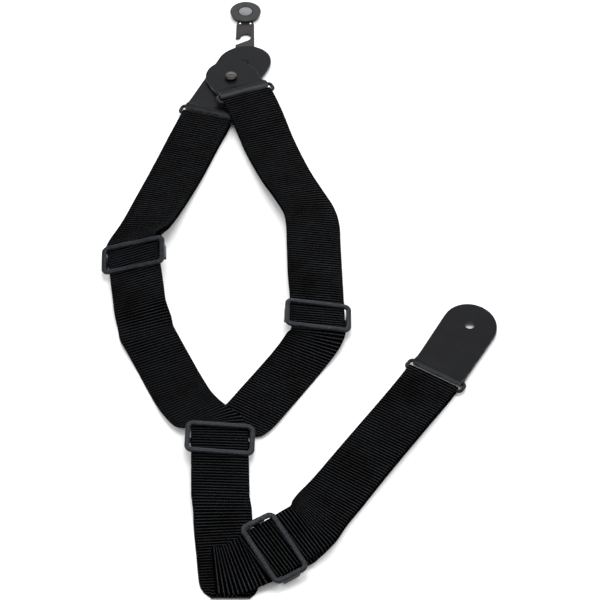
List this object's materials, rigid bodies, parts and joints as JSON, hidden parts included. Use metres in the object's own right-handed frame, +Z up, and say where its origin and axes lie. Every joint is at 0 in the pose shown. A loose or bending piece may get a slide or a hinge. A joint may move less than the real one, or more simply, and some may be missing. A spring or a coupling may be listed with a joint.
{
  "type": "instrument strap",
  "caption": "Double-shoulder instrument strap: wide webbing through slide buckles, wire rings with leather end tabs, and a notched hook plate with a round grip disc.",
  "frame": {"origin": "middle of the strap's outline as it lies on a table, on the table's surface", "axes": "+Y from the tail's bottom fold towards the hook, +Z up from the table, +X to the right seen from above"},
  "size_m": [0.373, 0.7942, 0.0272],
  "materials": {
    "webbing": "black ribbed polypropylene webbing, slightly glossy ribs",
    "buckle_plastic": "satin black moulded plastic, faintly speckled",
    "ring_wire": "black painted steel wire, satin",
    "leather": "black smooth leather with fine grain and lighter worn folds",
    "stud_metal": "dark nickel, polished",
    "hook_plate": "dark warm grey, fine matte texture",
    "grip_disc": "mid grey rubbery plastic, matte",
    "disc_inlay": "pale silver grey, plain, slightly glossy",
    "pin_metal": "polished steel"
  },
  "bodies": {
    "harness": {"main_webbing": "webbing", "tail_webbing": "webbing", "branch_webbing": "webbing", "branch_end_webbing": "webbing", "left_under_webbing": "webbing", "right_under_webbing": "webbing", "tail_under_webbing": "webbing", "left_ring": "ring_wire", "left_tab": "leather", "right_ring": "ring_wire", "right_tab": "leather", "stud_post": "stud_metal", "stud_cap": "stud_metal"},
    "left_adjuster": {"left_slider": "buckle_plastic", "left_sewn_loop": "webbing"},
    "right_adjuster": {"right_slider": "buckle_plastic", "right_sewn_loop": "webbing"},
    "junction_adjuster": {"junction_slider": "buckle_plastic", "junction_sewn_loop": "webbing"},
    "tail_adjuster": {"tail_slider": "buckle_plastic", "tail_sewn_loop": "webbing"},
    "end_link": {"end_ring": "ring_wire"},
    "end_leather": {"end_tab": "leather"},
    "hook": {"hook_plate": "hook_plate", "hook_peg": "pin_metal", "grip_disc": "grip_disc", "disc_inlay": "disc_inlay", "disc_pin_left": "pin_metal", "disc_pin_right": "pin_metal"}
  },
  "joints": [
    {"name": "left_adjust", "type": "slide", "parent": "harness", "child": "left_adjuster", "axis": [0.1397, -0.9894, -0.04], "range_m": [0, 0.036], "deforming": ["left_under_webbing"]},
    {"name": "right_adjust", "type": "slide", "parent": "harness", "child": "right_adjuster", "axis": [-0.0291, 0.9996, 0.0068], "range_m": [0, 0.095], "deforming": ["right_under_webbing"]},
    {"name": "junction_adjust", "type": "slide", "parent": "harness", "child": "junction_adjuster", "axis": [0.0302, -0.9979, -0.0566], "range_m": [0, 0.04], "deforming": ["branch_end_webbing"]},
    {"name": "tail_adjust", "type": "slide", "parent": "harness", "child": "tail_adjuster", "axis": [0.8023, 0.596, 0.0349], "range_m": [0, 0.01], "deforming": ["tail_under_webbing"]},
    {"name": "end_ring_swing", "type": "hinge", "parent": "harness", "child": "end_link", "pos_m": [0.12262, -0.14683, 0.00355], "axis": [0.832, -0.5548, 0], "range_deg": [0, 60]},
    {"name": "end_tab_swing", "type": "hinge", "parent": "end_link", "child": "end_leather", "pos_m": [0.12838, -0.13817, 0.00355], "axis": [0.832, -0.5548, 0], "range_deg": [0, 115]},
    {"name": "hook_turn", "type": "hinge", "parent": "harness", "child": "hook", "pos_m": [-0.056, 0.297, 0.0018], "axis": [0, 0, 1], "range_deg": [-90, 90]}
  ]
}
